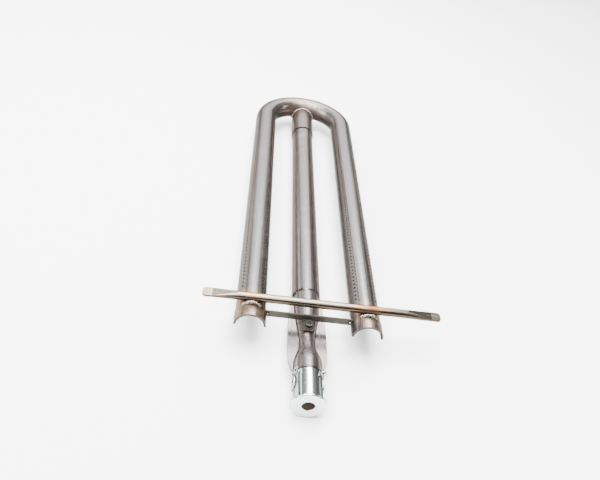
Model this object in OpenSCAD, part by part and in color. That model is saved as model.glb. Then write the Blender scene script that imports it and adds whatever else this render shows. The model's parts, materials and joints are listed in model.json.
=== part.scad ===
// Tubular U-shaped gas burner with a centre venturi mixer, an adjustable air shutter,
// a cross bar that carries it in the appliance, and a strap that steadies the mixer.
// Origin: centre of the orifice hole in the shutter's front face. +Y runs along the
// mixer towards the bend, +Z is the side that the flames are on.

/* [Burner tube] */
// Outside diameter of the bent burner tube
tube_d = 31.75; // [28:0.05:38]
// Wall of the bent burner tube
tube_wall = 1.5; // [1:0.1:2.5]
// Distance between the two legs, centre to centre
leg_spacing = 122.5; // [115:0.5:190]
// Straight length of each leg, from its front end to the start of the bend
leg_l = 445; // [330:5:620]
// Distance of the leg ends behind the shutter's front face
leg_setback = 80; // [74:1:100]
// Height of the leg axes above the mixer axis
leg_rise = 13; // [10:0.5:18]

/* [Leg ends] */
// Length over which the lower half of each leg end is cut away
saddle_l = 35; // [30:1:50]
// Length of the half-round ring on each leg end
ring_l = 14.4; // [8:0.2:15]
// Thickness of the half-round ring
ring_t = 0.8; // [0.5:0.1:1.5]
// Thickness of the plug that closes each leg
plug_t = 3; // [2:0.5:6]
// Half of the width of the weld bead around each plug
plug_bead_r = 1.3; // [0.8:0.1:1.4]

/* [Ports] */
// Diameter of a port in the main rows
port_d = 2.5; // [1.6:0.1:3]
// Diameter of a port in the upper rows
port_small_d = 1.5; // [1:0.1:2]
// Distance from one port of a row to the next
port_pitch = 5.8; // [5.2:0.05:12]
// Angle of the upper port rows from the top of the tube
port_angle_high = 32; // [24:1:34]
// Angle of the main port rows from the top of the tube
port_angle_low = 44; // [42:1:70]
// Distance from the plug to the first port
port_margin = 3; // [2:0.5:20]

/* [Mixing tube] */
// Outside diameter of the mixing tube
mix_d = 31.75; // [30.5:0.05:34]
// Wall of the mixing tube
mix_wall = 1.6; // [1:0.1:2.5]
// Front end of the mixing tube behind the leg ends
mix_setback = 62; // [60:1:80]
// Length of the socket in front of the bend
socket_l = 60; // [45:1:90]
// Wall of the socket
socket_wall = 1.3; // [1:0.1:2]
// How far the mixing tube reaches into the socket
socket_grip = 40; // [25:1:44]
// Size of the weld bead between socket and bend
tee_bead = 4; // [3:0.5:7]
// Size of the weld bead between venturi and mixing tube
mixer_bead = 1.4; // [1:0.1:1.6]

/* [Venturi] */
// Sheet thickness of the two pressed venturi halves
venturi_t = 1.2; // [0.8:0.1:1.4]
// Outside diameter of the bell, behind the shutter
bell_d = 29.8; // [29.8:0.1:31]
// Length of the straight part of the bell
bell_l = 10; // [6:0.5:12]
// Length of the taper from bell to throat
bell_taper_l = 29; // [24:0.5:40]
// Outside diameter of the throat
throat_d = 16.9; // [14:0.1:20]
// Length of the taper from throat to tail
tail_taper_l = 56; // [48:1:60]
// How far the venturi's tail reaches into the mixing tube
tail_grip = 30; // [15:1:60]
// Largest width across the side flanges
flange_w = 41.2; // [38:0.2:46]
// Diameter of the pip on top of the throat
pip_d = 2.4; // [1:0.1:4]

/* [Air shutter] */
// Outside diameter of the shutter's barrel
shutter_d = 28.8; // [27:0.1:29]
// Sheet thickness of the shutter
shutter_t = 1; // [0.8:0.1:1.5]
// Length of the shutter
shutter_l = 34.3; // [30:0.1:36]
// Diameter over the curled front flange
shutter_flange_d = 35.3; // [34:0.1:42]
// Diameter of the orifice hole in the front face
orifice_d = 13.2; // [8:0.1:18]
// Diameter of the notch at the bottom of the orifice hole
notch_d = 2.6; // [1:0.1:3]
// Diameter of the two side air windows
window_d = 14; // [8:0.5:15]
// Distance of the window centres behind the front face
window_y = 24; // [18:0.5:25]
// How far the window lips stand out from the barrel
lip_h = 0.5; // [0.3:0.1:2]
// Width of the two ears at the shutter's rear rim
ear_w = 6; // [5:0.5:10]
// How far the ears stand out from the barrel
ear_h = 1.8; // [1.4:0.1:2.5]
// Angle of the ears above the middle plane
ear_angle = 33; // [0:1:50]
// How far the ears reach behind the rear rim
ear_reach = 2.2; // [1.8:0.1:4.2]
// Shank diameter of the lock screw
lock_d = 3; // [2.5:0.5:3.5]
// Head diameter of the lock screw
lock_head_d = 5.6; // [5:0.1:7.5]
// Head height of the lock screw
lock_head_h = 2.4; // [1.5:0.1:4]

/* [Cross bar] */
// Diameter of the cross bar
bar_d = 9; // [7:0.5:12]
// Wall of the cross bar
bar_wall = 1.2; // [1:0.1:2]
// Distance of the bar's axis behind the leg ends
bar_setback = 20.6; // [19:0.2:24]
// Reach of the bar past the left leg's axis
bar_left = 51; // [44:1:90]
// Reach of the bar past the right leg's axis
bar_right = 76; // [44:1:110]
// Width of the flattened bar ends
tab_w = 11; // [8:0.5:16]
// Thickness of the flattened bar ends
tab_t = 2.4; // [1.5:0.1:3.5]
// Length of the flattened bar ends
tab_l = 10; // [8:1:20]
// Length over which the bar turns from round to flat
tab_taper_l = 26; // [18:1:28]
// Corner radius of the flattened bar ends
tab_corner_r = 3.5; // [1:0.5:3.9]
// Size of the weld bead around each crossing of bar and leg
bar_bead = 3; // [1.5:0.1:3]
// Length of the weld bead along the bar
bar_bead_l = 15; // [10:0.5:18]

/* [Strap] */
// Thickness of the strap
strap_t = 2; // [1.5:0.1:3]
// Height of the strap
strap_h = 7.5; // [6:0.5:12]
// Distance of the strap's front face behind the leg ends
strap_setback = 16.8; // [16:0.2:20]
// Width of the strap's ear
strap_ear_w = 11.5; // [10.5:0.5:18]
// Length of the strap's ear
strap_ear_l = 13.5; // [13:0.5:16]
// Diameter of the strap screw's shank
strap_screw_d = 4.8; // [3.5:0.1:5]
// Diameter of the strap screw's head
strap_head_d = 7.6; // [7:0.2:9]
// Height of the strap screw's head
strap_head_h = 3; // [2:0.1:4]
// Diameter of the washer under the strap screw
washer_d = 10.5; // [9.5:0.5:12.5]
// Thickness of the washer
washer_t = 1; // [0.6:0.1:1.5]
// Radius of the weld spots at the strap's ends
strap_bead_r = 3; // [2:0.1:3.6]

/* [Fits] */
// Radial clearance where the shutter turns on the venturi
turn_fit = 0.08; // [0.05:0.01:0.1]
// Radial clearance of the lock screw in its ear
screw_fit = 0.05; // [0.02:0.01:0.1]
// Radial gap where one tube slides into another before welding
slip_fit = 0.1; // [0.05:0.01:0.2]
// Gap that a weld fills between two pieces
weld_gap = 0.3; // [0.1:0.05:0.6]

/* [Hidden] */
$fn = 64;
BEAD_FN = 32;
LEFT = -1;
RIGHT = 1;
eps = 0.01;

tube_r = tube_d / 2;
tube_bore_r = tube_r - tube_wall;
bend_r = leg_spacing / 2;
bend_y = leg_setback + leg_l;
bend_front_y = bend_y + bend_r - tube_r;

mix_r = mix_d / 2;
mix_bore_r = mix_r - mix_wall;
mix_y = leg_setback + mix_setback;
socket_bore_r = mix_r + slip_fit;
socket_r = socket_bore_r + socket_wall;
socket_y = bend_front_y - socket_l;
socket_end_y = bend_y + bend_r;

shutter_r = shutter_d / 2;
shutter_bore_r = shutter_r - shutter_t;
snout_r = shutter_bore_r - turn_fit;
snout_gap = 1.8;
bell_gap = 1;
bell_r = bell_d / 2;
bell_y = shutter_l + bell_gap;
taper_y = bell_y + bell_l;
throat_y = taper_y + bell_taper_l;
throat_r = throat_d / 2;
tail_r = mix_bore_r - slip_fit;
tail_y = throat_y + tail_taper_l;
tail_end_y = mix_y + tail_grip;
flange_y = bell_y + ear_reach + 2;
curl_r = (shutter_flange_d / 2 - shutter_r - shutter_t) / 2 + 0.2;

bar_r = bar_d / 2;
bar_y = leg_setback + bar_setback;
bar_z = leg_rise + tube_r + bar_r + weld_gap;
strap_y = leg_setback + strap_setback;

// Outer radius of the venturi at the distance y behind the shutter's front face
function venturi_r(y) =
  y < taper_y ? bell_r
  : y < throat_y ? throat_r + (bell_r - throat_r) * (1 + cos(180 * (y - taper_y) / bell_taper_l)) / 2
  : y < tail_y ? throat_r + (tail_r - throat_r) * (1 - cos(180 * pow((y - throat_y) / tail_taper_l, 0.8))) / 2
  : tail_r;

// Half of the width across the venturi's side flanges at the distance y
flange_peak_y = throat_y + 3;
flange_round_l = 14;
function flange_half_w(y) =
  let (front = max(0, (flange_y + flange_round_l - y) / flange_round_l))
  flange_w / 2
  - (flange_w / 2 - mix_r) * pow((y - flange_peak_y) / (mix_y - flange_peak_y), 2)
  - 3 * front * front;

// Turns the Z axis of its children onto +Y
module along_y() { rotate([-90, 0, 0]) children(); }

module on_leg(side) { translate([side * leg_spacing / 2, leg_setback, leg_rise]) children(); }

// Arc of weld bead around the Y axis, centred below it; its section is given as [radius, y]
module bead_arc(section, angle) {
  along_y() rotate([0, 0, 90 - angle / 2]) rotate_extrude(angle = angle) polygon(section);
}

// The U shape as a solid of the given radius, from the leg ends round the bend
module u_solid(r) {
  for (side = [LEFT, RIGHT]) on_leg(side) along_y() cylinder(r = r, h = leg_l);
  translate([0, bend_y, leg_rise]) rotate_extrude(angle = 180) translate([bend_r, 0]) circle(r = r);
}

// One drilled port, at the angle a from the top of the tube
module port_drill(a) {
  drill_d = abs(a) == port_angle_low ? port_d : port_small_d;
  rotate([0, a, 0]) translate([0, 0, tube_bore_r - 3]) cylinder(d = drill_d, h = tube_wall + 5, $fn = 16);
}

port_first = saddle_l + plug_t + port_margin;
port_count = floor((leg_l - port_first) / port_pitch);
port_turn = port_pitch / bend_r * 180 / PI;
port_turns = floor(180 / port_turn);
port_keepout = socket_r + tee_bead + port_d;

// The upper and lower rows are staggered by half a pitch
function port_shift(a) = abs(a) == port_angle_low ? 0.5 : 0;

module leg_ports() {
  for (a = [port_angle_high, port_angle_low], flank = [-1, 1], i = [0 : port_count])
    translate([0, port_first + (i + port_shift(a)) * port_pitch, 0]) port_drill(flank * a);
}

module bend_ports() {
  for (a = [port_angle_high, port_angle_low], flank = [-1, 1], i = [1 : port_turns - 1]) {
    turn = (i + port_shift(a)) * port_turn;
    near_socket = flank < 0 && abs(bend_r * cos(turn)) < port_keepout;
    if (!near_socket)
      rotate([0, 0, turn]) translate([bend_r, 0, 0]) port_drill(flank * a);
  }
}

module u_tube() {
  color([0.62, 0.60, 0.58]) difference() {
    u_solid(tube_r);
    u_solid(tube_bore_r);
    for (side = [LEFT, RIGHT]) on_leg(side) {
      translate([-tube_r - 1, -1, -tube_r - 1]) cube([tube_d + 2, saddle_l + 1, tube_r + 1]);
      translate([0, -1, 0]) along_y() cylinder(r = tube_bore_r, h = saddle_l + 2);
      leg_ports();
    }
    translate([0, bend_y, leg_rise]) bend_ports();
    translate([0, socket_y, 0]) along_y() cylinder(r = mix_bore_r, h = socket_end_y - socket_y);
  }
}

// Half-round ring that stiffens the open end of a leg
module end_ring(side) {
  color([0.66, 0.62, 0.60]) on_leg(side) difference() {
    along_y() cylinder(r = tube_r + ring_t, h = ring_l);
    translate([0, -1, 0]) along_y() cylinder(r = tube_r, h = ring_l + 2);
    translate([-tube_d, -1, -tube_d]) cube([2 * tube_d, ring_l + 2, tube_d]);
  }
}
module left_end_ring() { end_ring(LEFT); }
module right_end_ring() { end_ring(RIGHT); }

// Disc that closes a leg behind its cut-away end
module end_plug(side) {
  color([0.45, 0.43, 0.41]) on_leg(side) translate([0, saddle_l, 0])
    along_y() cylinder(r = tube_bore_r, h = plug_t);
}
module left_end_plug() { end_plug(LEFT); }
module right_end_plug() { end_plug(RIGHT); }

// Bead that seals the plug to the cut edge of the leg's lower half
module plug_weld(side) {
  color([0.72, 0.72, 0.72]) on_leg(side) translate([0, saddle_l, 0]) bead_arc([
    [tube_bore_r - plug_bead_r, 0], [tube_bore_r - plug_bead_r / 2, -plug_bead_r * 0.8],
    [tube_bore_r + plug_bead_r / 2, -plug_bead_r * 0.8], [tube_bore_r + plug_bead_r, 0]], 170);
}
module left_plug_weld() { plug_weld(LEFT); }
module right_plug_weld() { plug_weld(RIGHT); }

module mixing_tube() {
  color([0.60, 0.58, 0.56]) translate([0, mix_y, 0]) along_y() difference() {
    cylinder(r = mix_r, h = socket_y + socket_grip - mix_y);
    translate([0, 0, -1]) cylinder(r = mix_bore_r, h = socket_y + socket_grip - mix_y + 2);
  }
}

// Socket that joins the mixing tube to the bend: coped over it above, closed below it
module tee_socket() {
  color([0.58, 0.52, 0.46]) difference() {
    translate([0, socket_y, 0]) along_y() cylinder(r = socket_r, h = socket_end_y - socket_y);
    translate([0, socket_y - 1, 0]) along_y()
      cylinder(r = socket_bore_r, h = socket_end_y - socket_y + 1 - socket_wall);
    u_solid(tube_r);
  }
}

module tee_weld() {
  color([0.55, 0.45, 0.36]) difference() {
    intersection() {
      translate([0, socket_y, 0]) along_y() cylinder(r = socket_r + tee_bead, h = socket_end_y - socket_y);
      u_solid(tube_r + tee_bead);
    }
    translate([0, socket_y - 1, 0]) along_y() cylinder(r = socket_r, h = socket_end_y - socket_y + 2);
    u_solid(tube_r);
  }
}

// Beads above and below the flanges, where the venturi's tail enters the mixing tube
module mixer_weld() {
  color([0.72, 0.72, 0.72]) for (turn = [0, 180]) translate([0, mix_y, 0]) rotate([0, turn, 0])
    bead_arc([[tail_r, 0], [tail_r + mixer_bead, 0], [tail_r, -mixer_bead]], 120);
}

venturi_steps = 12;
// Outline of the venturi's wall, from the snout to the tail, at the depth t below its surface
function venturi_line(t) = concat(
  [[snout_r - t, snout_gap], [snout_r - t, bell_y + (t > 0 ? venturi_t : 0)]],
  [[bell_r - t, bell_y + (t > 0 ? venturi_t : 0)]],
  [for (i = [0 : venturi_steps]) let (y = taper_y + bell_taper_l * i / venturi_steps) [venturi_r(y) - t, y]],
  [for (i = [1 : venturi_steps]) let (y = throat_y + tail_taper_l * i / venturi_steps) [venturi_r(y) - t, y]],
  [[tail_r - t, tail_end_y]]);

// Upper half of the venturi; the lower half is its mirror image
module venturi_half() {
  difference() {
    union() {
      mirror([0, 0, 1]) along_y() rotate_extrude(angle = 180) polygon(concat(
        venturi_line(0),
        [for (i = [len(venturi_line(venturi_t)) - 1 : -1 : 0]) venturi_line(venturi_t)[i]]));
      difference() {
        linear_extrude(venturi_t) for (side = [LEFT, RIGHT]) scale([side, 1]) polygon(concat(
          [[0, mix_y - weld_gap], [0, flange_y]],
          [for (i = [0 : 16]) let (y = flange_y + (mix_y - weld_gap - flange_y) * i / 16) [flange_half_w(y), y]]));
        along_y() rotate_extrude() polygon(concat(
          [[0, 0]], [for (p = venturi_line(venturi_t / 2)) p], [[0, tail_end_y]]));
      }
    }
    along_x_window(snout_r + 2);
  }
}

// Cylinder through both sides of the mixer at the air windows
module along_x_window(reach) {
  translate([-reach, window_y, 0]) rotate([0, 90, 0]) cylinder(d = window_d, h = 2 * reach);
}

// Places its children on the strap's sloping ear, with the origin where the screw goes
ear_slope = atan((venturi_r(strap_y) - venturi_r(strap_y - strap_ear_l)) / strap_ear_l);
ear_y = strap_y - strap_ear_l / 2;
ear_z = (venturi_r(strap_y) + venturi_r(strap_y - strap_ear_l)) / 2 + 0.35;
module on_ear() { translate([0, ear_y, ear_z]) rotate([ear_slope, 0, 0]) children(); }

module venturi_upper_half() {
  color([0.55, 0.51, 0.49]) difference() {
    venturi_half();
    on_ear() translate([0, 0, -6]) cylinder(d = strap_screw_d, h = 8);
    translate([0, throat_y, throat_r - 0.5]) cylinder(d = pip_d, h = 2);
  }
}

module venturi_lower_half() { color([0.55, 0.51, 0.49]) mirror([0, 0, 1]) venturi_half(); }

module shutter_barrel() {
  along_y() difference() {
    union() {
      cylinder(r = shutter_r, h = shutter_l);
      cylinder(r = shutter_flange_d / 2 - curl_r, h = shutter_t);
      rotate_extrude() translate([shutter_flange_d / 2 - curl_r, curl_r]) circle(r = curl_r, $fn = BEAD_FN);
    }
    translate([0, 0, shutter_t]) cylinder(r = shutter_bore_r, h = shutter_l);
    translate([0, 0, -1]) cylinder(d = orifice_d, h = shutter_t + 2);
    translate([0, orifice_d / 2, -1]) cylinder(d = notch_d, h = shutter_t + 2);
  }
}

// Ear on the shutter's rear rim; the right one carries the lock screw
ear_l = ear_reach + ear_w / 2 + shutter_t;
lock_y = shutter_l + ear_reach - ear_l / 2;
module shutter_ear() {
  intersection() {
    translate([0, shutter_l + ear_reach - ear_l, 0]) along_y() cylinder(r = shutter_r + ear_h, h = ear_l);
    translate([0, shutter_l + ear_reach - ear_l, -ear_w / 2]) cube([shutter_d, ear_l, ear_w]);
  }
}

// Turns its children from +X up to the ears
module at_ear() { rotate([0, -ear_angle, 0]) children(); }

module air_shutter() {
  color([0.86, 0.88, 0.88]) difference() {
    union() {
      shutter_barrel();
      for (side = [LEFT, RIGHT]) scale([side, 1, 1]) {
        translate([shutter_bore_r + shutter_t / 2, window_y, 0]) rotate([0, 90, 0])
          cylinder(d = window_d + 2 * shutter_t, h = shutter_t / 2 + lip_h);
        at_ear() shutter_ear();
      }
    }
    translate([0, shutter_t, 0]) along_y() cylinder(r = shutter_bore_r, h = shutter_l);
    translate([0, shutter_l, 0]) along_y() cylinder(r = bell_r + turn_fit, h = shutter_l);
    along_x_window(shutter_d);
    for (side = [LEFT, RIGHT]) scale([side, 1, 1]) at_ear()
      translate([0, lock_y, 0]) rotate([0, 90, 0]) cylinder(d = lock_d + 2 * screw_fit, h = shutter_d);
  }
}

// Round-headed screw that locks the shutter, backed off so that the shutter can turn
module shutter_lock_screw() {
  head_x = shutter_r + ear_h + turn_fit;
  tip_x = bell_r + 4 * turn_fit;
  color([0.80, 0.80, 0.78]) at_ear() translate([0, lock_y, 0]) rotate([0, 90, 0]) difference() {
    union() {
      translate([0, 0, tip_x]) cylinder(d = lock_d, h = head_x - tip_x + eps);
      translate([0, 0, head_x]) cylinder(d = lock_head_d, h = lock_head_h);
    }
    translate([-0.5, -lock_head_d, head_x + lock_head_h - 1]) cube([1, 2 * lock_head_d, 2]);
  }
}

// Flattened end of the cross bar, reaching from the origin to +X
module bar_end() {
  hull() {
    rotate([0, -90, 0]) cylinder(r = bar_r, h = eps, $fn = 32);
    translate([tab_taper_l, -tab_w / 2, -tab_t / 2]) cube([eps, tab_w, tab_t]);
  }
  translate([tab_taper_l, 0, -tab_t / 2]) linear_extrude(tab_t) union() {
    translate([0, -tab_w / 2]) square([tab_l - tab_corner_r, tab_w]);
    translate([0, tab_corner_r - tab_w / 2]) square([tab_l, tab_w - 2 * tab_corner_r]);
    for (side = [-1, 1]) translate([tab_l - tab_corner_r, side * (tab_w / 2 - tab_corner_r)]) circle(r = tab_corner_r);
  }
}

bar_right_x = leg_spacing / 2 + bar_right - tab_l - tab_taper_l;
bar_left_x = -leg_spacing / 2 - bar_left + tab_l + tab_taper_l;
module cross_bar() {
  color([0.68, 0.63, 0.56]) translate([0, bar_y, bar_z]) {
    difference() {
      translate([bar_left_x, 0, 0]) rotate([0, 90, 0]) cylinder(r = bar_r, h = bar_right_x - bar_left_x);
      translate([bar_left_x + 1, 0, 0]) rotate([0, 90, 0])
        cylinder(r = bar_r - bar_wall, h = bar_right_x - bar_left_x - 2);
    }
    translate([bar_right_x, 0, 0]) bar_end();
    translate([bar_left_x, 0, 0]) mirror([1, 0, 0]) bar_end();
  }
}

// Bead around the place where the bar crosses the crown of a leg
module bar_weld(side) {
  color([0.75, 0.75, 0.76]) difference() {
    intersection() {
      translate([-leg_spacing, bar_y, bar_z]) rotate([0, 90, 0]) cylinder(r = bar_r + bar_bead, h = 2 * leg_spacing);
      on_leg(side) along_y() cylinder(r = tube_r + bar_bead, h = 2 * bar_setback);
      on_leg(side) translate([-bar_bead_l / 2, 0, 0]) cube([bar_bead_l, 2 * bar_setback, 2 * tube_d]);
    }
    on_leg(side) along_y() cylinder(r = tube_r, h = 2 * bar_setback);
    on_leg(side) along_y() cylinder(r = tube_r + ring_t, h = ring_l);
    translate([-leg_spacing, bar_y, bar_z]) rotate([0, 90, 0]) cylinder(r = bar_r, h = 2 * leg_spacing);
  }
}
module left_bar_weld() { bar_weld(LEFT); }
module right_bar_weld() { bar_weld(RIGHT); }

strap_z = ear_z + strap_ear_l / 2 * sin(ear_slope);
strap_top_z = strap_z + strap_h;
strap_end_x = leg_spacing / 2 - tube_r - weld_gap;
module strap_blade() {
  difference() {
    translate([-leg_spacing / 2, strap_y, strap_z]) cube([leg_spacing, strap_t, strap_h]);
    for (side = [LEFT, RIGHT]) on_leg(side) along_y() cylinder(r = tube_r + weld_gap, h = 2 * strap_setback);
  }
}

module cross_strap() {
  color([0.27, 0.26, 0.22]) {
    strap_blade();
    difference() {
      on_ear() translate([-strap_ear_w / 2, -strap_ear_l / 2, 0]) cube([strap_ear_w, strap_ear_l + strap_t, strap_t]);
      on_ear() translate([0, 0, -1]) cylinder(d = strap_screw_d, h = strap_t + 2);
      translate([-strap_ear_w, strap_y + strap_t, 0]) cube([2 * strap_ear_w, strap_t * 2, 50]);
    }
  }
}

// Weld spot between the strap's end and the leg
module strap_weld(side) {
  color([0.78, 0.78, 0.78]) difference() {
    translate([side * strap_end_x, strap_y + strap_t / 2, strap_z + strap_h / 2])
      sphere(r = strap_bead_r, $fn = BEAD_FN);
    strap_blade();
    on_leg(side) along_y() cylinder(r = tube_r, h = 2 * strap_setback);
  }
}
module left_strap_weld() { strap_weld(LEFT); }
module right_strap_weld() { strap_weld(RIGHT); }

module strap_screw() {
  color([0.45, 0.45, 0.44]) on_ear() difference() {
    union() {
      translate([0, 0, -4]) cylinder(d = strap_screw_d, h = 4 + strap_t + washer_t);
      translate([0, 0, strap_t + washer_t]) cylinder(d = strap_head_d, h = strap_head_h);
    }
    for (turn = [0, 90]) rotate([0, 0, turn]) translate([-2.4, -0.55, strap_t + washer_t + strap_head_h - 1.4])
      cube([4.8, 1.1, 2]);
  }
}

module strap_washer() {
  color([0.20, 0.20, 0.19]) on_ear() translate([0, 0, strap_t]) difference() {
    cylinder(d = washer_d, h = washer_t);
    translate([0, 0, -1]) cylinder(d = strap_screw_d + 0.2, h = washer_t + 2);
  }
}

u_tube();
left_end_ring();
right_end_ring();
left_end_plug();
right_end_plug();
left_plug_weld();
right_plug_weld();
mixing_tube();
tee_socket();
tee_weld();
mixer_weld();
venturi_upper_half();
venturi_lower_half();
air_shutter();
shutter_lock_screw();
cross_bar();
left_bar_weld();
right_bar_weld();
cross_strap();
left_strap_weld();
right_strap_weld();
strap_screw();
strap_washer();
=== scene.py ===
# %% [markdown]
# # A tubular gas burner
#
# This lesson dresses the measured model of a U-shaped gas burner. The measured solids arrive as a fixed frame,
# in metres, with the orifice hole of the air shutter at the origin, +Y along the mixer and +Z towards the flames.
# We keep a measured piece where its shape is already right, and rebuild it where a real one has weld ripples that
# a plain solid doesn't show. The raised rims of the ports are added.

# %% Load the frame
import json
import math

import bpy
from mathutils import Matrix, Vector


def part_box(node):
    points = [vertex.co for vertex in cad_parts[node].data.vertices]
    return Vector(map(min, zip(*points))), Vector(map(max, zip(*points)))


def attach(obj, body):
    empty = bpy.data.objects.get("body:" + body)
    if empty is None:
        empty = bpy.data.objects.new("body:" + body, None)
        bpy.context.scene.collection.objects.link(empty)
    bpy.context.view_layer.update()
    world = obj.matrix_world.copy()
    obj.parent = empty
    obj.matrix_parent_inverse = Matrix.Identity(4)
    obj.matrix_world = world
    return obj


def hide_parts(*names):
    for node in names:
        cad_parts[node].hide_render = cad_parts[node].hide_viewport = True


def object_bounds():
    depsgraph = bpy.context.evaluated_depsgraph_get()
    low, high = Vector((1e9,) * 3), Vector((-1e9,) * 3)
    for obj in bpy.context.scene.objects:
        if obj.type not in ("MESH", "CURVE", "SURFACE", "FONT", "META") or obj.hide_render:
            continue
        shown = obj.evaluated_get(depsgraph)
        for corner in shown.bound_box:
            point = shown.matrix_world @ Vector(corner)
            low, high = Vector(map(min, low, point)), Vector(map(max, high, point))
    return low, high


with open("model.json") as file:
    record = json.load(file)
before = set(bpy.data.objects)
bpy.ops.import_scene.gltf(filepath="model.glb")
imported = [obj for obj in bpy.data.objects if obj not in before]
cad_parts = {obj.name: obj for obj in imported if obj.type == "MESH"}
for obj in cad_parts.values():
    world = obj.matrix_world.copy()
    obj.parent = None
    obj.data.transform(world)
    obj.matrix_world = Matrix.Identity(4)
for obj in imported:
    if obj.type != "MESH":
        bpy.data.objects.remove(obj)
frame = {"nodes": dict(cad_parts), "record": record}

cad_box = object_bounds()
nodes = frame["nodes"]

# %% [markdown]
# ## Sizes read from the frame
#
# The dressing has to sit on the measured pieces to a fraction of a millimetre. We could copy every number from the
# drawing, but most sizes can be read from the boxes of the pieces, so a change of the model moves the dressing too.

# %% Driving sizes
MM = 0.001
tube_low, tube_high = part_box("u_tube")
socket_low, socket_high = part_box("tee_socket")
bar_low, bar_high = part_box("cross_bar")
ring_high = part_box("left_end_ring")[1]
shutter_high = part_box("air_shutter")[1]
screw_low, screw_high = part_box("strap_screw")

tube_r = (tube_high.z - tube_low.z) / 2
leg_x = (tube_high.x - tube_low.x) / 2 - tube_r
leg_z = tube_high.z - tube_r
leg_front_y = tube_low.y
bend_r = leg_x
bend_y = tube_high.y - bend_r - tube_r
socket_r = (socket_high.x - socket_low.x) / 2
bar_r = (bar_high.z - bar_low.z) / 2
bar_y = (bar_low.y + bar_high.y) / 2
middle_y = (cad_box[0][1] + cad_box[1][1]) / 2
print(f"tube {tube_r * 2000:.2f} mm, legs {leg_x * 2000:.1f} mm apart, bend starts at {bend_y * 1000:.1f} mm")

# %% [markdown]
# ## Camera
#
# A long thin part looks best from just above its front end, where the legs run away from us and narrow towards the
# bend. The camera's three axes are written out instead of three angles, so nobody has to guess an order of turns.

# %% Camera
CAMERA_PLACE = (-0.08575, -0.31274, 0.44746)
CAMERA_RIGHT = Vector((0.98611855, -0.00830807, 0.16583479))
CAMERA_UP = Vector((-0.12321691, 0.63285736, 0.76440118))
SENSOR_WIDTH = 36.0
LENS = 34.27


def add_camera():
    """A camera above the front of the burner, slightly to its left and rolled a little."""
    back = CAMERA_RIGHT.cross(CAMERA_UP).normalized()
    data = bpy.data.cameras.new("camera")
    data.sensor_width = SENSOR_WIDTH
    data.lens = LENS
    data.clip_end = 50.0
    camera = bpy.data.objects.new("camera", data)
    turn = Matrix((CAMERA_RIGHT, CAMERA_UP, back)).transposed().to_4x4()
    camera.matrix_world = Matrix.Translation(CAMERA_PLACE) @ turn
    bpy.context.scene.collection.objects.link(camera)
    bpy.context.scene.camera = camera
    print(f"camera: {LENS} mm lens, {Vector(CAMERA_PLACE).length * 1000:.0f} mm from the orifice hole")


add_camera()

# %% [markdown]
# ## Floor
#
# The burner rests on a pale studio floor. The floor is also the lower half of what the tubes reflect, so it is wide
# and nearly white. It is a piece of the stage and not of the burner.

# %% Floor
FLOOR_HALF = 8.0
FLOOR_GAP = 0.5 * MM
FLOOR_PAINT = (0.93, 0.93, 0.925)


def new_material(name):
    """A material with nodes, its tree and its shader."""
    material = bpy.data.materials.new(name)
    material.use_nodes = True
    return material, material.node_tree, material.node_tree.nodes["Principled BSDF"]


def add_floor():
    """A wide pale floor just under the burner's lowest point."""
    z = cad_box[0][2] - FLOOR_GAP
    corners = [(x * FLOOR_HALF, y * FLOOR_HALF, z) for x, y in ((-1, -1), (1, -1), (1, 1), (-1, 1))]
    mesh = bpy.data.meshes.new("floor")
    mesh.from_pydata(corners, [], [(0, 1, 2, 3)])
    floor = bpy.data.objects.new("floor", mesh)
    bpy.context.scene.collection.objects.link(floor)
    paint, _, surface = new_material("floor_paint")
    surface.inputs["Base Color"].default_value = (*FLOOR_PAINT, 1)
    surface.inputs["Roughness"].default_value = 0.75
    mesh.materials.append(paint)
    print(f"floor at {z * 1000:.1f} mm")


add_floor()

# %% [markdown]
# ## Light
#
# Bare steel shows its surroundings more than itself. One sun would leave a hard white line on every tube. Soft boxes
# give broad highlights with soft ends, and a sky that is dim at the horizon draws the dark bands along both sides of
# a tube. The boxes stand where the tubes mirror them into the camera: overhead, behind the bend, and to the left.

# %% Sky
SKY_STRENGTH = 0.8
SKY_STOPS = ((0.0, (0.13, 0.125, 0.12)), (0.4, (0.22, 0.215, 0.21)), (0.9, (0.9, 0.9, 0.9)))


def add_sky():
    """A sky that is brightest overhead and dim at the horizon."""
    world = bpy.data.worlds.new("studio")
    world.use_nodes = True
    tree = world.node_tree
    coords = tree.nodes.new("ShaderNodeTexCoord")
    split = tree.nodes.new("ShaderNodeSeparateXYZ")
    ramp = tree.nodes.new("ShaderNodeValToRGB")
    tree.links.new(coords.outputs["Generated"], split.inputs[0])
    tree.links.new(split.outputs["Z"], ramp.inputs[0])
    tree.links.new(ramp.outputs["Color"], tree.nodes["Background"].inputs["Color"])
    stops = ramp.color_ramp.elements
    while len(stops) < len(SKY_STOPS):
        stops.new(0.5)
    for stop, (height, colour) in zip(stops, SKY_STOPS):
        stop.position = height
        stop.color = (*colour, 1)
    tree.nodes["Background"].inputs["Strength"].default_value = SKY_STRENGTH
    bpy.context.scene.world = world
    print("sky:", [round(stop.position, 2) for stop in stops])


add_sky()

# %% Soft boxes
WHITE = (1.0, 1.0, 1.0)
COOL = (0.93, 0.97, 1.0)
SOFT_BOXES = (
    # name, place, width and height, watts, tint
    ("top_box", (-0.3, middle_y, 1.7), (1.3, 1.6), 190, WHITE),
    ("crown_box", (0.2, middle_y + 1.15, 1.75), (0.9, 0.75), 58, WHITE),
    ("back_box", (0.0, 2.9, 1.6), (2.6, 1.7), 125, WHITE),
    ("left_box", (-1.9, 0.0, 1.1), (0.6, 1.3), 75, COOL),
    ("front_box", (-0.1, -1.3, 1.9), (0.8, 0.8), 45, WHITE),
    ("low_left_box", (-2.0, 2.3, 0.75), (1.1, 1.2), 26, (1.0, 0.97, 0.96)),
    ("right_box", (2.0, 0.5, 1.0), (0.3, 1.2), 12, (1.0, 0.97, 0.93)),
)


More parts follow.
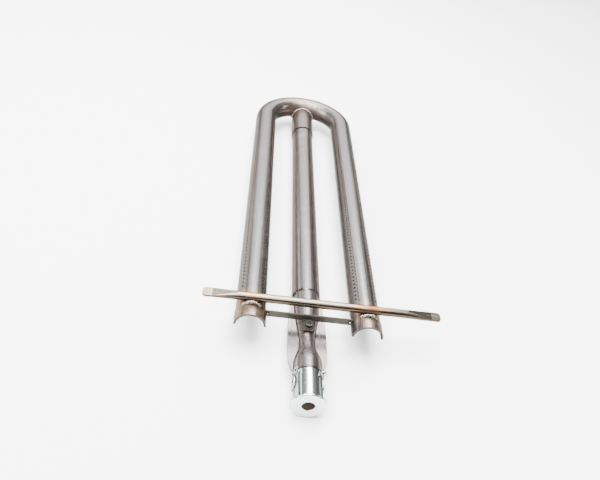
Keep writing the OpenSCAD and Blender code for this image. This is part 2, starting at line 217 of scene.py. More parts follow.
def add_soft_box(name, place, size, watts, tint):
    """One rectangular light that faces the middle of the burner."""
    data = bpy.data.lights.new(name, "AREA")
    data.shape = "RECTANGLE"
    data.size, data.size_y = size
    data.energy = watts
    data.color = tint
    light = bpy.data.objects.new(name, data)
    aim = (Vector((0, middle_y, 0)) - Vector(place)).to_track_quat("-Z", "Y")
    light.matrix_world = Matrix.Translation(place) @ aim.to_matrix().to_4x4()
    bpy.context.scene.collection.objects.link(light)


for soft_box in SOFT_BOXES:
    add_soft_box(*soft_box)
print("soft boxes:", len(SOFT_BOXES))

# %% [markdown]
# ## Shared surface effects
#
# Every metal here is scratched, stained or heated in the same ways. Copies of the same nodes in eight materials
# would drift apart, so each effect is one node group with named inputs. The groups put out masks and coordinates
# only, and the shaders that use them stay in each material. First come small helpers that keep the code short.

# %% Node helpers
POSITION = ("Position", "NodeSocketVector", (0, 0, 0))
NORMAL = ("Normal", "NodeSocketVector", (0, 0, 1))


def new_group(name, inputs, outputs):
    """A shader node group with the given inputs and with float outputs."""
    group = bpy.data.node_groups.new(name, "ShaderNodeTree")
    for label, kind, value in inputs:
        socket = group.interface.new_socket(label, in_out="INPUT", socket_type=kind)
        socket.default_value = value
    for label in outputs:
        group.interface.new_socket(label, in_out="OUTPUT", socket_type="NodeSocketFloat")
    return group, group.nodes.new("NodeGroupInput"), group.nodes.new("NodeGroupOutput")


def feed(tree, value, socket):
    """Links a socket, or sets a plain number."""
    if isinstance(value, bpy.types.NodeSocket):
        tree.links.new(value, socket)
    else:
        socket.default_value = value


def math_node(tree, operation, first, second=None, clamp=False):
    """A Math node whose inputs are sockets or numbers."""
    node = tree.nodes.new("ShaderNodeMath")
    node.operation = operation
    node.use_clamp = clamp
    feed(tree, first, node.inputs[0])
    if second is not None:
        feed(tree, second, node.inputs[1])
    return node.outputs[0]


def vector_node(tree, operation, first, second=None):
    """A Vector Math node whose second input is a socket, three numbers or nothing."""
    node = tree.nodes.new("ShaderNodeVectorMath")
    node.operation = operation
    feed(tree, first, node.inputs[0])
    if second is not None:
        feed(tree, second, node.inputs[1])
    return node


def map_range(tree, value, low, high, to_low=0.0, to_high=1.0):
    """A smooth Map Range node."""
    node = tree.nodes.new("ShaderNodeMapRange")
    node.interpolation_type = "SMOOTHSTEP"
    tree.links.new(value, node.inputs["Value"])
    for label, limit in (("From Min", low), ("From Max", high), ("To Min", to_low), ("To Max", to_high)):
        feed(tree, limit, node.inputs[label])
    return node.outputs["Result"]


def noise_node(tree, position, scale, detail, roughness=0.5):
    """A Noise Texture at a position."""
    node = tree.nodes.new("ShaderNodeTexNoise")
    node.inputs["Detail"].default_value = detail
    node.inputs["Roughness"].default_value = roughness
    tree.links.new(position, node.inputs["Vector"])
    feed(tree, scale, node.inputs["Scale"])
    return node.outputs["Fac"]


def split_xyz(tree, vector):
    """The three numbers of a vector."""
    node = tree.nodes.new("ShaderNodeSeparateXYZ")
    tree.links.new(vector, node.inputs[0])
    return [node.outputs[i] for i in range(3)]


def join_xyz(tree, parts):
    """A vector of three numbers."""
    node = tree.nodes.new("ShaderNodeCombineXYZ")
    for index, value in enumerate(parts):
        tree.links.new(value, node.inputs[index])
    return node.outputs[0]


# %% [markdown]
# ## Coordinates that follow the bent tube
#
# The tube was drawn straight and bent later, so its scratches run round the bend. Object coordinates don't bend. This
# group unrolls the U: the distance along the tube replaces Y and the distance from its middle replaces X. It also
# says which points lie below the outer skin, which are the walls of the ports, and which lie near the rows of ports.

# %% Tube frame
ROW_ANGLE = math.radians(42)
BAND_FULL = 0.1
BAND_END = 0.45


def hypotenuse(tree, first, second):
    """The length of a flat vector."""
    squares = [math_node(tree, "MULTIPLY", side, side) for side in (first, second)]
    return math_node(tree, "SQRT", math_node(tree, "ADD", *squares))


def make_tube_frame():
    """Unrolled position, the band of the port rows, and the depth below the tube's skin."""
    group, source, sink = new_group("tube_frame", [POSITION], ["Band", "Depth"])
    group.interface.new_socket("Unrolled", in_out="OUTPUT", socket_type="NodeSocketVector")
    x, y, z = split_xyz(group, source.outputs["Position"])
    over = math_node(group, "MAXIMUM", math_node(group, "SUBTRACT", y, bend_y), 0.0)
    radius = hypotenuse(group, over, x)
    turn = math_node(group, "ARCTAN2", over, math_node(group, "ABSOLUTE", x))
    arc = math_node(group, "MULTIPLY", turn, bend_r)
    along = math_node(group, "ADD", math_node(group, "MINIMUM", y, bend_y), arc)
    across = math_node(group, "MULTIPLY", radius, math_node(group, "SIGN", x))
    group.links.new(join_xyz(group, (across, along, z)), sink.inputs["Unrolled"])
    side = math_node(group, "ABSOLUTE", math_node(group, "SUBTRACT", radius, leg_x))
    height = math_node(group, "SUBTRACT", z, leg_z)
    depth = map_range(group, hypotenuse(group, side, height), tube_r - 0.5 * MM, tube_r - 0.2 * MM, 1.0, 0.0)
    group.links.new(depth, sink.inputs["Depth"])
    angle = math_node(group, "ARCTAN2", side, height)
    off_row = math_node(group, "ABSOLUTE", math_node(group, "SUBTRACT", angle, ROW_ANGLE))
    group.links.new(map_range(group, off_row, BAND_FULL, BAND_END, 1.0, 0.0), sink.inputs["Band"])
    return group


TUBE_FRAME = make_tube_frame()

# %% [markdown]
# ## Scratches and stains
#
# Drawn steel has fine streaks along it, from the die and from brushing. Noise that is squeezed to a few thousandths
# along Y gives such streaks without a texture file. Handling and old heat leave blotches on top of them: one cloudy
# noise for the patches and one fine noise for the specks.

# %% Fine scratches
STREAK_SQUEEZE = (1.0, 0.006, 1.0)


def make_scratches():
    """Streaks that run along Y, where the tubes were drawn and brushed."""
    group, source, sink = new_group("scratches", [POSITION, ("Density", "NodeSocketFloat", 900.0)], ["Streaks"])
    squeezed = vector_node(group, "MULTIPLY", source.outputs["Position"], STREAK_SQUEEZE).outputs[0]
    streaks = noise_node(group, squeezed, source.outputs["Density"], 3.0, 0.65)
    group.links.new(streaks, sink.inputs["Streaks"])
    return group


SCRATCHES = make_scratches()

# %% Cloudy stains
SPECKLE_SCALE = 420.0


def make_stains():
    """Soft blotches of two sizes, from handling and from old heat."""
    group, source, sink = new_group(
        "stains",
        [POSITION, ("Size", "NodeSocketFloat", 30.0), ("Cover", "NodeSocketFloat", 0.5)],
        ["Cloud", "Speckle"],
    )
    position = source.outputs["Position"]
    cloud = noise_node(group, position, source.outputs["Size"], 5.0, 0.6)
    low = math_node(group, "MULTIPLY", math_node(group, "SUBTRACT", 0.72, source.outputs["Cover"]), 0.9)
    high = math_node(group, "ADD", low, 0.3)
    group.links.new(map_range(group, cloud, low, high), sink.inputs["Cloud"])
    speckle = noise_node(group, position, SPECKLE_SCALE, 2.0)
    group.links.new(map_range(group, speckle, 0.55, 0.75), sink.inputs["Speckle"])
    return group


STAINS = make_stains()

# %% [markdown]
# ## Heat tint
#
# Welding heat leaves a brown core and a wider straw halo on the steel round it. The tint depends on the distance to
# the weld, with a noise that makes its edge ragged. One group serves every weld, fed with its place and its reach.
# The same group lays painted shade into the shutter's windows.

# %% Heat tint
def make_heat_tint_and_shade():
    """Two nested rings round a place, a core and a wider halo with a ragged edge: heat tint round a weld, painted
    shade in a window.
    """
    group, source, sink = new_group(
        "heat_tint_and_shade",
        [POSITION, ("Weld", "NodeSocketVector", (0, 0, 0)), ("Reach", "NodeSocketFloat", 0.03)],
        ["Core", "Halo"],
    )
    position = source.outputs["Position"]
    ragged = math_node(group, "SUBTRACT", noise_node(group, position, 90.0, 3.0), 0.5)
    gap = vector_node(group, "DISTANCE", position, source.outputs["Weld"]).outputs["Value"]
    share = math_node(group, "DIVIDE", gap, source.outputs["Reach"])
    share = math_node(group, "ADD", share, math_node(group, "MULTIPLY", ragged, 0.8))
    group.links.new(map_range(group, share, 0.25, 0.65, 1.0, 0.0), sink.inputs["Core"])
    group.links.new(map_range(group, share, 0.5, 1.1, 1.0, 0.0), sink.inputs["Halo"])
    return group


HEAT_TINT_AND_SHADE = make_heat_tint_and_shade()

# %% [markdown]
# ## Dark insides and painted shade on the flanks
#
# The inside of the mixer is oxidised, and painted darker still as shade, and never shines, though it is one piece
# with the bright outside. A face that looks back at the mixer's axis is an inside face, so a dot product finds them
# all. The steep flanks of a tube get a painted tone of light and shade, mostly shade and heaviest on the right side.
# The direction of the surface finds those too.

# %% Dark insides
def make_inside():
    """A mask that is white on faces which look at the mixer's axis, the inside of every drawn cup and tube."""
    group, source, sink = new_group("inside", [POSITION, NORMAL], ["Mask"])
    flat = vector_node(group, "MULTIPLY", source.outputs["Position"], (1.0, 0.0, 1.0)).outputs[0]
    outward = vector_node(group, "NORMALIZE", flat).outputs[0]
    facing = vector_node(group, "DOT_PRODUCT", outward, source.outputs["Normal"]).outputs["Value"]
    group.links.new(map_range(group, facing, -0.6, -0.2, 1.0, 0.0), sink.inputs["Mask"])
    return group


INSIDE = make_inside()

# %% Painted shade on the flanks
LEFT_FLANK_SHADE_SHARE = 0.6


def make_flanks():
    """Masks of steep faces, and of the steep sides of a tube along Y, for painted shade that is heavier on the right
    side.
    """
    group, source, sink = new_group("flanks", [NORMAL], ["Mask", "Steep"])
    x, y, z = split_xyz(group, source.outputs["Normal"])
    steep = map_range(group, z, 0.70, 0.88, 1.0, 0.0)
    wall = map_range(group, math_node(group, "ABSOLUTE", y), 0.3, 0.6, 1.0, 0.0)
    side = map_range(group, x, -0.2, 0.2, LEFT_FLANK_SHADE_SHARE, 1.0)
    mask = math_node(group, "MULTIPLY", math_node(group, "MULTIPLY", steep, wall), side)
    group.links.new(mask, sink.inputs["Mask"])
    group.links.new(steep, sink.inputs["Steep"])
    return group


FLANK_SHADE = make_flanks()
print("effects:", [group.name for group in (TUBE_FRAME, SCRATCHES, STAINS, HEAT_TINT_AND_SHADE, INSIDE, FLANK_SHADE)])

# %% [markdown]
# ## Metals
#
# All the metals are built by one function, because they differ in numbers and not in kind: a base colour that stains
# and heat shift, a roughness that the scratches break up, and a very shallow bump. A Bevel node rounds the edges in
# the light only, which suits sheet metal: its real edges are softer than a drawing's, by less than half a millimetre.

# %% Colour helpers
# Near-black painted shade, for the walls of the ports, the shutter's windows and the steps.
SHADE_BLACK = (0.035, 0.028, 0.024)
SPECK_SHADE = 0.6
BAND_SHADE = 1.25


def place_group(tree, group, **values):
    """One use of an effect group; its inputs are sockets or plain values."""
    node = tree.nodes.new("ShaderNodeGroup")
    node.node_tree = group
    for label, value in values.items():
        feed(tree, value, node.inputs[label])
    return node.outputs


def shade(colour, factor):
    """A colour made darker or lighter."""
    return tuple(channel * factor for channel in colour)


def mix_colour(tree, mask, below, above, strength=1.0):
    """Lays the colour above over the colour below where the mask is white."""
    node = tree.nodes.new("ShaderNodeMix")
    node.data_type = "RGBA"
    tree.links.new(math_node(tree, "MULTIPLY", mask, strength), node.inputs["Factor"])
    for index, value in ((6, below), (7, above)):
        feed(tree, (*value, 1) if isinstance(value, tuple) else value, node.inputs[index])
    return node.outputs[2]


# %% Grain direction and seams
def grain_position(tree, position, grain):
    """The position along the metal's drawing direction, with the band and depth masks where it is the U tube."""
    if grain == "tube":
        unrolled = place_group(tree, TUBE_FRAME, Position=position)
        return unrolled["Unrolled"], unrolled["Band"], unrolled["Depth"]
    if grain == "y":
        return position, None, None
    x, y, z = split_xyz(tree, position)
    return join_xyz(tree, (y, x, z)), None, None


def seam_shade_mask(tree, position, place, width):
    """White within the width of one cross-section of the burner, for a painted shadow line at a step, with dirt."""
    gap = math_node(tree, "ABSOLUTE", math_node(tree, "SUBTRACT", split_xyz(tree, position)[1], place))
    return map_range(tree, gap, 0.5 * width, width, 1.0, 0.0)


# %% Heat and relief
SCRATCH_DENSITY = 700.0
SCRATCH_DEPTH = 0.03 * MM


def heated(tree, position, welds, core, halo, colour, rough):
    """Lays the heat tint of each weld and the painted shade of each window over a colour, and dulls the metal at its
    core.
    """
    for place, reach, strength in welds:
        tint = place_group(tree, HEAT_TINT_AND_SHADE, Position=position, Weld=place, Reach=reach)
        colour = mix_colour(tree, tint["Halo"], colour, halo, 0.75 * strength)
        colour = mix_colour(tree, tint["Core"], colour, core, 0.85 * strength)
        rough = math_node(tree, "ADD", rough, math_node(tree, "MULTIPLY", tint["Core"], 0.2), clamp=True)
    return colour, rough


def add_relief(tree, surface, scratches, soft_edge):
    """Shallow scratches over edges that are rounded in the light."""
    rounded = tree.nodes.new("ShaderNodeBevel")
    rounded.samples = 4
    rounded.inputs["Radius"].default_value = soft_edge
    relief = tree.nodes.new("ShaderNodeBump")
    relief.inputs["Distance"].default_value = SCRATCH_DEPTH
    relief.inputs["Strength"].default_value = 1.0
    tree.links.new(scratches, relief.inputs["Height"])
    tree.links.new(rounded.outputs["Normal"], relief.inputs["Normal"])
    tree.links.new(relief.outputs["Normal"], surface.inputs["Normal"])


# %% Metal builder
def metal(name, base, stain, roughness, metallic=1.0, scratch=0.08, grain="y", edge=(0.45, 0.41, 0.38),
          stain_amount=0.5, stain_size=30.0, cover=0.5, welds=(), core=None, halo=None, seams=(), flank=None,
          inside=None, soft_edge=0.4 * MM):
    """A worn metal with scratches, stains, dark insides, soft edges, heat tint round the given spots, and painted
    shade.
    """
    material, tree, surface = new_material(name)
    surface.inputs["Metallic"].default_value = metallic
    surface.inputs["Specular Tint"].default_value = (*edge, 1)
    coords = tree.nodes.new("ShaderNodeTexCoord")
    position, normal = coords.outputs["Object"], coords.outputs["Normal"]
    drawn, band, depth = grain_position(tree, position, grain)
    scratches = place_group(tree, SCRATCHES, Position=drawn, Density=SCRATCH_DENSITY)["Streaks"]
    stains = place_group(tree, STAINS, Position=position, Size=stain_size, Cover=cover)
    colour = mix_colour(tree, stains["Cloud"], base, stain, stain_amount)
    colour = mix_colour(tree, stains["Speckle"], colour, shade(stain, SPECK_SHADE), 0.35)
    # Painted shade along the rows of ports, on the flanks of the U tube.
    if band is not None:
        colour = mix_colour(tree, band, colour, shade(stain, BAND_SHADE), 0.7)
    rough = map_range(tree, scratches, 0.3, 0.7, roughness - scratch, roughness + scratch)
    colour, rough = heated(tree, position, welds, core, halo, colour, rough)
    # A painted shadow line at each step, with dirt, laid on in near-black.
    for place, width in seams:
        colour = mix_colour(tree, seam_shade_mask(tree, position, place, width), colour, SHADE_BLACK, 0.5)
    # Painted light and shade on steep faces: the flanks of a tube, heaviest on the right, and the bar's front face.
    if flank is not None:
        flanks = place_group(tree, FLANK_SHADE, Normal=normal)
        colour = mix_colour(tree, flanks["Steep" if grain == "x" else "Mask"], colour, flank, 0.9)
    # Painted shade: the walls of the ports and the cut edges of the tube turn near-black and dull.
    if depth is not None:
        colour = mix_colour(tree, depth, colour, SHADE_BLACK)
        rough = math_node(tree, "MAXIMUM", rough, math_node(tree, "MULTIPLY", depth, 0.6))
    # Inside faces lose their shine and take the inside colour; in the mixer that is oxide darkened as painted shade.
    if inside is not None:
        cavity = place_group(tree, INSIDE, Position=position, Normal=normal)["Mask"]
        colour = mix_colour(tree, cavity, colour, inside)
        rough = math_node(tree, "MAXIMUM", rough, math_node(tree, "MULTIPLY", cavity, 0.6))
        shine = math_node(tree, "MULTIPLY", math_node(tree, "SUBTRACT", 1.0, cavity), metallic)
        tree.links.new(shine, surface.inputs["Metallic"])
    tree.links.new(colour, surface.inputs["Base Color"])
    tree.links.new(rough, surface.inputs["Roughness"])
    add_relief(tree, surface, scratches, soft_edge)
    return material


# %% [markdown]
# ## Finishes
#
# The burner is plain steel, brown where it was welded, and the mixer is much the same. The shutter and the screws
# look zinc plated, which is brighter, greener and smoother. The bar is smooth and brown, and the strap is nearly
# black. Separate shaders for each would repeat the same nodes, so each finish is one call with its own numbers.
# A darker edge tint keeps bare steel from looking wet. Painted shade in the shutter's windows is laid on like a
# weld's tint.

# %% Places where heat tint and painted shade gather
tee_place = (0.0, bend_y + bend_r - tube_r, leg_z * 0.6)
left_crossing = (-leg_x, bar_y - 5 * MM, leg_z + tube_r)
right_crossing = (leg_x, bar_y, leg_z + tube_r)
screw_place = (0.0, (screw_low.y + screw_high.y) / 2, screw_high.z - 2 * MM)
# The shutter's windows, where painted shade is laid.
WINDOW_SIDE = 13.7 * MM
WINDOW_Y = 24 * MM
windows = [(side * WINDOW_SIDE, WINDOW_Y, 0.0) for side in (-1, 1)]
print("heat at:", [[round(number * 1000, 1) for number in place] for place in (tee_place, left_crossing)])

# %% Finishes
# The mixer's inside colour: oxide, darkened further as painted shade.
OXIDE_AND_SHADE = (0.13, 0.095, 0.08)
RUST = (0.50, 0.33, 0.29)
FINISHES = {}


def finish(name, *tones, **looks):
    """Builds one finish and keeps it under the name of its slot."""
    FINISHES[name] = metal(name, *tones, **looks)


finish("burner_steel", (0.158, 0.166, 0.175), (0.100, 0.088, 0.081), 0.33, scratch=0.12, metallic=0.92,
       edge=(0.38, 0.37, 0.36), grain="tube", stain_amount=0.75, stain_size=42.0, cover=0.55,
       welds=[(tee_place, 0.040, 0.6), (left_crossing, 0.026, 1.0), (right_crossing, 0.022, 0.9)],
       core=(0.038, 0.027, 0.021), halo=(0.24, 0.165, 0.11),
       seams=[(ring_high.y + 0.3 * MM, 0.7 * MM), (leg_front_y, 0.6 * MM)])
finish("mixer_steel", (0.172, 0.166, 0.168), (0.098, 0.08, 0.074), 0.30, scratch=0.10, metallic=0.92,
       edge=(0.38, 0.36, 0.35), flank=(0.19, 0.16, 0.15), stain_amount=0.7, soft_edge=0.15 * MM,
       welds=[(tee_place, 0.03, 0.5), (screw_place, 0.016, 1.0)], inside=OXIDE_AND_SHADE,
       core=(0.035, 0.027, 0.022), halo=(0.13, 0.095, 0.075), seams=[(shutter_high.y, 1.0 * MM)])
# The shutter gets painted shade in its windows and on its steep flanks, and rust inside.
finish("zinc_plate", (0.74, 0.80, 0.79), (0.50, 0.60, 0.56), 0.14, scratch=0.05,
       edge=(0.32, 0.34, 0.33), flank=(0.045, 0.048, 0.045), stain_size=60.0, inside=RUST,
       welds=[(place, 0.016, 1.0) for place in windows], core=SHADE_BLACK, halo=(0.45, 0.48, 0.46))
finish("zinc_screw", (0.66, 0.66, 0.63), (0.40, 0.39, 0.34), 0.20, scratch=0.05,
       welds=[(screw_place, 0.03, 1.1)], core=(0.022, 0.02, 0.018), halo=(0.05, 0.045, 0.04))
finish("bar_steel", (0.23, 0.20, 0.165), (0.11, 0.085, 0.06), 0.20, metallic=0.95, grain="x",
       edge=(0.30, 0.27, 0.22), flank=(0.05, 0.038, 0.028), stain_amount=0.6,
       welds=[(left_crossing, 0.018, 0.8), (right_crossing, 0.027, 1.0)],
       core=(0.13, 0.05, 0.02), halo=(0.30, 0.15, 0.06))
finish("strap_steel", (0.052, 0.047, 0.038), (0.028, 0.024, 0.018), 0.46, metallic=0.5, grain="x",
       welds=[(screw_place, 0.020, 1.0)], core=(0.02, 0.018, 0.016), halo=(0.035, 0.03, 0.025))
finish("weld_metal", (0.55, 0.55, 0.56), (0.17, 0.135, 0.11), 0.25, stain_size=200.0,
       stain_amount=0.9, cover=0.55)
finish("plug_steel", (0.22, 0.205, 0.19), (0.12, 0.10, 0.08), 0.45)

for row in frame["record"]["subparts"]:
    mesh = nodes[row["node"]].data
    mesh.materials.clear()
    mesh.materials.append(FINISHES[row["material_slot"]])
print("finishes:", sorted(FINISHES))

# %% [markdown]
# ## Weld beads
#
# A weld bead is a row of frozen puddles, each lapped over the one before. Sculpting each would take long and fit one
# weld only. One Geometry Nodes tree turns any path into a bead: it spaces flattened balls along the path, turns each
# to face along it, and varies their size a little. The path is the line where the two pieces really meet.

# %% Tree helpers
def new_tree(name, inputs):
    """An empty Geometry Nodes tree with the given inputs."""
    tree = bpy.data.node_groups.new(name, "GeometryNodeTree")
    tree.interface.new_socket("Geometry", in_out="INPUT", socket_type="NodeSocketGeometry")
    for label, kind, value in inputs:
        socket = tree.interface.new_socket(label, in_out="INPUT", socket_type=kind)
        if value is not None:
            socket.default_value = value
    tree.interface.new_socket("Geometry", in_out="OUTPUT", socket_type="NodeSocketGeometry")
    return tree, tree.nodes.new("NodeGroupInput"), tree.nodes.new("NodeGroupOutput")


def finish_tree(tree, source, sink, instances):
    """Ends a tree: real geometry, smooth, with its material."""
    realize = tree.nodes.new("GeometryNodeRealizeInstances")
    smooth = tree.nodes.new("GeometryNodeSetShadeSmooth")
    paint = tree.nodes.new("GeometryNodeSetMaterial")
    tree.links.new(instances, realize.inputs[0])
    tree.links.new(realize.outputs[0], smooth.inputs["Geometry"])
    tree.links.new(smooth.outputs[0], paint.inputs["Geometry"])
    tree.links.new(source.outputs["Material"], paint.inputs["Material"])
    tree.links.new(paint.outputs[0], sink.inputs[0])


def aim_instances(tree, place, direction):
    """Turns each instance's Z towards a direction."""
    aim = tree.nodes.new("FunctionNodeAlignRotationToVector")
    aim.axis = "Z"
    tree.links.new(direction, aim.inputs["Vector"])
    tree.links.new(aim.outputs["Rotation"], place.inputs["Rotation"])


def apply_tree(name, mesh, tree, values):
    """Runs a tree on a mesh and keeps the result as a plain mesh piece."""
    carrier = bpy.data.objects.new(name + "_path", mesh)
    bpy.context.scene.collection.objects.link(carrier)
    modifier = carrier.modifiers.new("tree", "NODES")
    modifier.node_group = tree
    for item in tree.interface.items_tree:
        if item.item_type == "SOCKET" and item.in_out == "INPUT" and item.name in values:
            modifier[item.identifier] = values[item.name]
    bpy.context.view_layer.update()
    evaluated = carrier.evaluated_get(bpy.context.evaluated_depsgraph_get())
    made = bpy.data.meshes.new_from_object(evaluated)
    made.name = name
    piece = bpy.data.objects.new(name, made)
    bpy.context.scene.collection.objects.link(piece)
    bpy.data.objects.remove(carrier)
    print(f"{name}: {len(made.polygons)} faces")
    return piece


# %% Bead tree
PUDDLE_SMALLEST = (0.80, 0.80, 0.55)
PUDDLE_LARGEST = (1.15, 1.15, 0.75)


def make_bead_tree():
    """Flattened balls lapped along a path."""
    tree, source, sink = new_tree("weld_bead", [
        ("Bead Radius", "NodeSocketFloat", 0.002), ("Step", "NodeSocketFloat", 0.0012),
        ("Seed", "NodeSocketInt", 0), ("Material", "NodeSocketMaterial", None)])
    path = tree.nodes.new("GeometryNodeMeshToCurve")
    spaced = tree.nodes.new("GeometryNodeResampleCurve")
    spaced.mode = "LENGTH"
    ball = tree.nodes.new("GeometryNodeMeshIcoSphere")
    ball.inputs["Radius"].default_value = 1.0
    ball.inputs["Subdivisions"].default_value = 3
    size = tree.nodes.new("FunctionNodeRandomValue")
    size.data_type = "FLOAT_VECTOR"
    size.inputs[0].default_value = PUDDLE_SMALLEST
    size.inputs[1].default_value = PUDDLE_LARGEST
    scale = tree.nodes.new("ShaderNodeVectorMath")
    scale.operation = "SCALE"
    place = tree.nodes.new("GeometryNodeInstanceOnPoints")
    tree.links.new(source.outputs["Geometry"], path.inputs["Mesh"])
    tree.links.new(path.outputs["Curve"], spaced.inputs["Curve"])
    tree.links.new(source.outputs["Step"], spaced.inputs["Length"])
    tree.links.new(spaced.outputs["Curve"], place.inputs["Points"])
    tree.links.new(ball.outputs["Mesh"], place.inputs["Instance"])
    aim_instances(tree, place, tree.nodes.new("GeometryNodeInputTangent").outputs[0])
    tree.links.new(source.outputs["Seed"], size.inputs["Seed"])
    tree.links.new(size.outputs["Value"], scale.inputs["Vector"])
    tree.links.new(source.outputs["Bead Radius"], scale.inputs["Scale"])
    tree.links.new(scale.outputs["Vector"], place.inputs["Scale"])
    finish_tree(tree, source, sink, place.outputs["Instances"])
    return tree


BEAD = make_bead_tree()


# %% Bead from a path
def path_mesh(name, strokes):
    """Open strokes of points, joined along each stroke."""
    points, edges = [], []
    for stroke in strokes:
        edges += [(len(points) + i, len(points) + i + 1) for i in range(len(stroke) - 1)]
        points += stroke
    mesh = bpy.data.meshes.new(name)
    mesh.from_pydata(points, edges, [])
    return mesh


def add_bead(name, strokes, radius, step, seed, node):
    """A weld bead piece that stands for one measured weld."""
    values = {"Bead Radius": radius, "Step": step, "Seed": seed, "Material": FINISHES["weld_metal"]}
    piece = apply_tree(name, path_mesh(name + "_line", strokes), BEAD, values)
    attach(piece, "burner")
    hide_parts(node)


# %% [markdown]
# ## The three kinds of weld
#
# The socket runs into the inner side of the bend, so its weld follows the line where a round tube cuts a bent one.
# The bar lies across the crowns of the legs, with a short irregular bead in front of it and one behind. The strap is
# only tacked at its ends, with a spot on each face. Each path is worked out from the two shapes that meet.

# %% Bead where the socket meets the bend
TEE_STEPS = 72
TEE_START = -6
TEE_SWEEP = 192
TEE_LIFT = 1.03
BEAD_SINK = 0.2 * MM


def tee_stroke():
    """The line where the socket's wall runs into the front of the bend."""
    stroke = []
    for step in range(TEE_STEPS + 1):
        turn = math.radians(TEE_START + TEE_SWEEP * step / TEE_STEPS)
        x, z = socket_r * math.cos(turn), socket_r * math.sin(turn)
        half_chord = math.sqrt(max(tube_r ** 2 - (z - leg_z) ** 2, 0.0))
        ring = bend_r - half_chord
        stroke.append((x * TEE_LIFT, bend_y + math.sqrt(ring ** 2 - x ** 2) - BEAD_SINK, z * TEE_LIFT))
    return stroke


add_bead("tee_weld_bead", [tee_stroke()], 2.1 * MM, 1.3 * MM, 3, "tee_weld")

# %% Beads where the bar crosses the legs
BAR_STEPS = 14
BAR_LIFT = 0.9 * MM
BAR_WAVES = 5.1


def bar_strokes(side, half, wobble):
    """Two strokes, in front of and behind the bar, that follow the crown of the leg."""
    strokes = []
    for face in (-1, 1):
        stroke = []
        for step in range(BAR_STEPS + 1):
            across = half * (2 * step / BAR_STEPS - 1)
            lift = BAR_LIFT + wobble * math.sin(BAR_WAVES * step / BAR_STEPS + face)
            z = leg_z + math.sqrt((tube_r + lift) ** 2 - across ** 2)
            stroke.append((side * leg_x + across, bar_y + face * (bar_r - BEAD_SINK + 0.4 * wobble), z))
        strokes.append(stroke)
    return strokes


add_bead("left_bar_weld_bead", bar_strokes(-1, 8.5 * MM, 1.2 * MM), 2.6 * MM, 1.5 * MM, 5, "left_bar_weld")
add_bead("right_bar_weld_bead", bar_strokes(1, 8.0 * MM, 0.9 * MM), 2.6 * MM, 1.5 * MM, 8, "right_bar_weld")

# %% Spots at the strap's ends
SPOT_HALF_THICKNESS = 1.2 * MM
SPOT_HALF_HEIGHT = 1.4 * MM
SPOT_LEAN = 0.2 * MM


def strap_strokes(side, low, high):
    """A short stroke in front of the strap's end and one behind it."""
    middle = (low + high) / 2
    x = middle.x - side * SPOT_LEAN
    return [[(x, face, middle.z - SPOT_HALF_HEIGHT), (x - side * SPOT_LEAN, face, middle.z + SPOT_HALF_HEIGHT)]
            for face in (middle.y - SPOT_HALF_THICKNESS, middle.y + SPOT_HALF_THICKNESS)]


for label, side in (("left", -1), ("right", 1)):
    spot_low, spot_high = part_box(label + "_strap_weld")
    add_bead(label + "_strap_weld_bead", strap_strokes(side, spot_low, spot_high), 1.9 * MM, 1.2 * MM, 11,
             label + "_strap_weld")

# %% [markdown]
# ## Port rims
#
# A port punched through a tube has a fine raised rim that catches the light. The rims repeat hundreds of times, so
# they are made as a designer would place any perforation: a second tree sets one small ring on each port centre.
# Each point of the path mesh carries the direction that its port looks in and the port's radius.

# %% Port places
PORT_PITCH = 5.8 * MM
PORT_START = 41.0 * MM
SOCKET_CLEARANCE = 6.5 * MM
# degrees from the top, port radius, shift along the row in pitches
ROWS = ((44.0, 1.25 * MM, 0.5), (32.0, 0.75 * MM, 0.0))


def leg_ports(across, up, radius, shift):
    """The ports of one row on both straight legs."""
    count = int((bend_y - leg_front_y - PORT_START) / PORT_PITCH)
    for i in range(count + 1):
        y = leg_front_y + PORT_START + (i + shift) * PORT_PITCH
        for side in (-1, 1):
            spot = Vector((side * leg_x + across * tube_r, y, leg_z + up * tube_r))
            yield spot, Vector((across, 0, up)), radius


def bend_ports(across, up, radius, shift):
    """The ports of one row round the bend; the inner rows leave room for the socket."""
    turn_step = PORT_PITCH / bend_r
    for i in range(1, int(math.pi / turn_step)):
        turn = (i + shift) * turn_step
        if across < 0 and abs(bend_r * math.cos(turn)) < socket_r + SOCKET_CLEARANCE:
            continue
        out = Vector((math.cos(turn), math.sin(turn), 0))
        away = out * across + Vector((0, 0, up))
        yield Vector((0, bend_y, leg_z)) + out * bend_r + away * tube_r, away, radius


def port_places():
    """Centre, outward direction and radius of every port."""
    places = []
    for degrees, radius, shift in ROWS:
        lean = math.radians(degrees)
        for flank in (-1, 1):
            row = (flank * math.sin(lean), math.cos(lean), radius, shift)
            places += [*leg_ports(*row), *bend_ports(*row)]
    print("ports:", len(places))
    return places


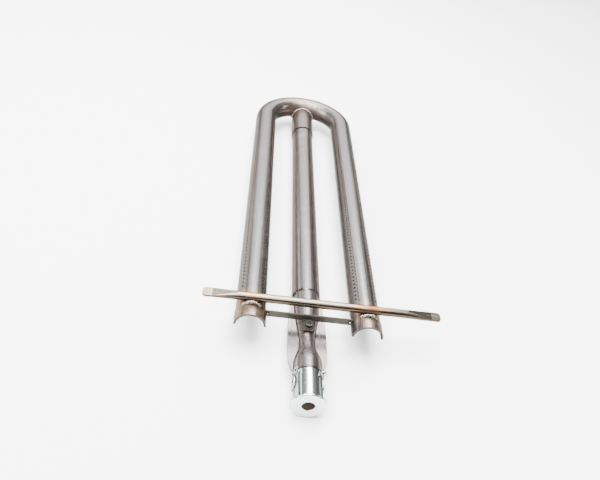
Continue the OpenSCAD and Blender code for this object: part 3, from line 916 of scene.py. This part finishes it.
# %% Rim tree
RIM_RADIUS = 1.14


def named_attribute(tree, name, kind):
    """Reads an attribute of the points."""
    node = tree.nodes.new("GeometryNodeInputNamedAttribute")
    node.data_type = kind
    node.inputs["Name"].default_value = name
    return node.outputs["Attribute"]


def make_rim_tree():
    """One thin ring on each point, turned to the point's direction and scaled to its radius."""
    tree, source, sink = new_tree("port_rims", [
        ("Rim Thickness", "NodeSocketFloat", 0.08), ("Material", "NodeSocketMaterial", None)])
    circle = tree.nodes.new("GeometryNodeCurvePrimitiveCircle")
    circle.inputs["Resolution"].default_value = 14
    circle.inputs["Radius"].default_value = RIM_RADIUS
    profile = tree.nodes.new("GeometryNodeCurvePrimitiveCircle")
    profile.inputs["Resolution"].default_value = 5
    ring = tree.nodes.new("GeometryNodeCurveToMesh")
    place = tree.nodes.new("GeometryNodeInstanceOnPoints")
    tree.links.new(source.outputs["Rim Thickness"], profile.inputs["Radius"])
    tree.links.new(circle.outputs["Curve"], ring.inputs["Curve"])
    tree.links.new(profile.outputs["Curve"], ring.inputs["Profile Curve"])
    tree.links.new(source.outputs["Geometry"], place.inputs["Points"])
    tree.links.new(ring.outputs["Mesh"], place.inputs["Instance"])
    aim_instances(tree, place, named_attribute(tree, "facing", "FLOAT_VECTOR"))
    tree.links.new(named_attribute(tree, "port_radius", "FLOAT"), place.inputs["Scale"])
    finish_tree(tree, source, sink, place.outputs["Instances"])
    return tree


# %% Rims on all the ports
def add_rims():
    """The rims of all the ports as one piece."""
    places = port_places()
    mesh = bpy.data.meshes.new("port_points")
    mesh.from_pydata([spot for spot, _, _ in places], [], [])
    facing = mesh.attributes.new("facing", "FLOAT_VECTOR", "POINT")
    facing.data.foreach_set("vector", [number for _, away, _ in places for number in away])
    radii = mesh.attributes.new("port_radius", "FLOAT", "POINT")
    radii.data.foreach_set("value", [radius for _, _, radius in places])
    piece = apply_tree("port_rims", mesh, make_rim_tree(), {"Material": FINISHES["burner_steel"]})
    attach(piece, "burner")


add_rims()
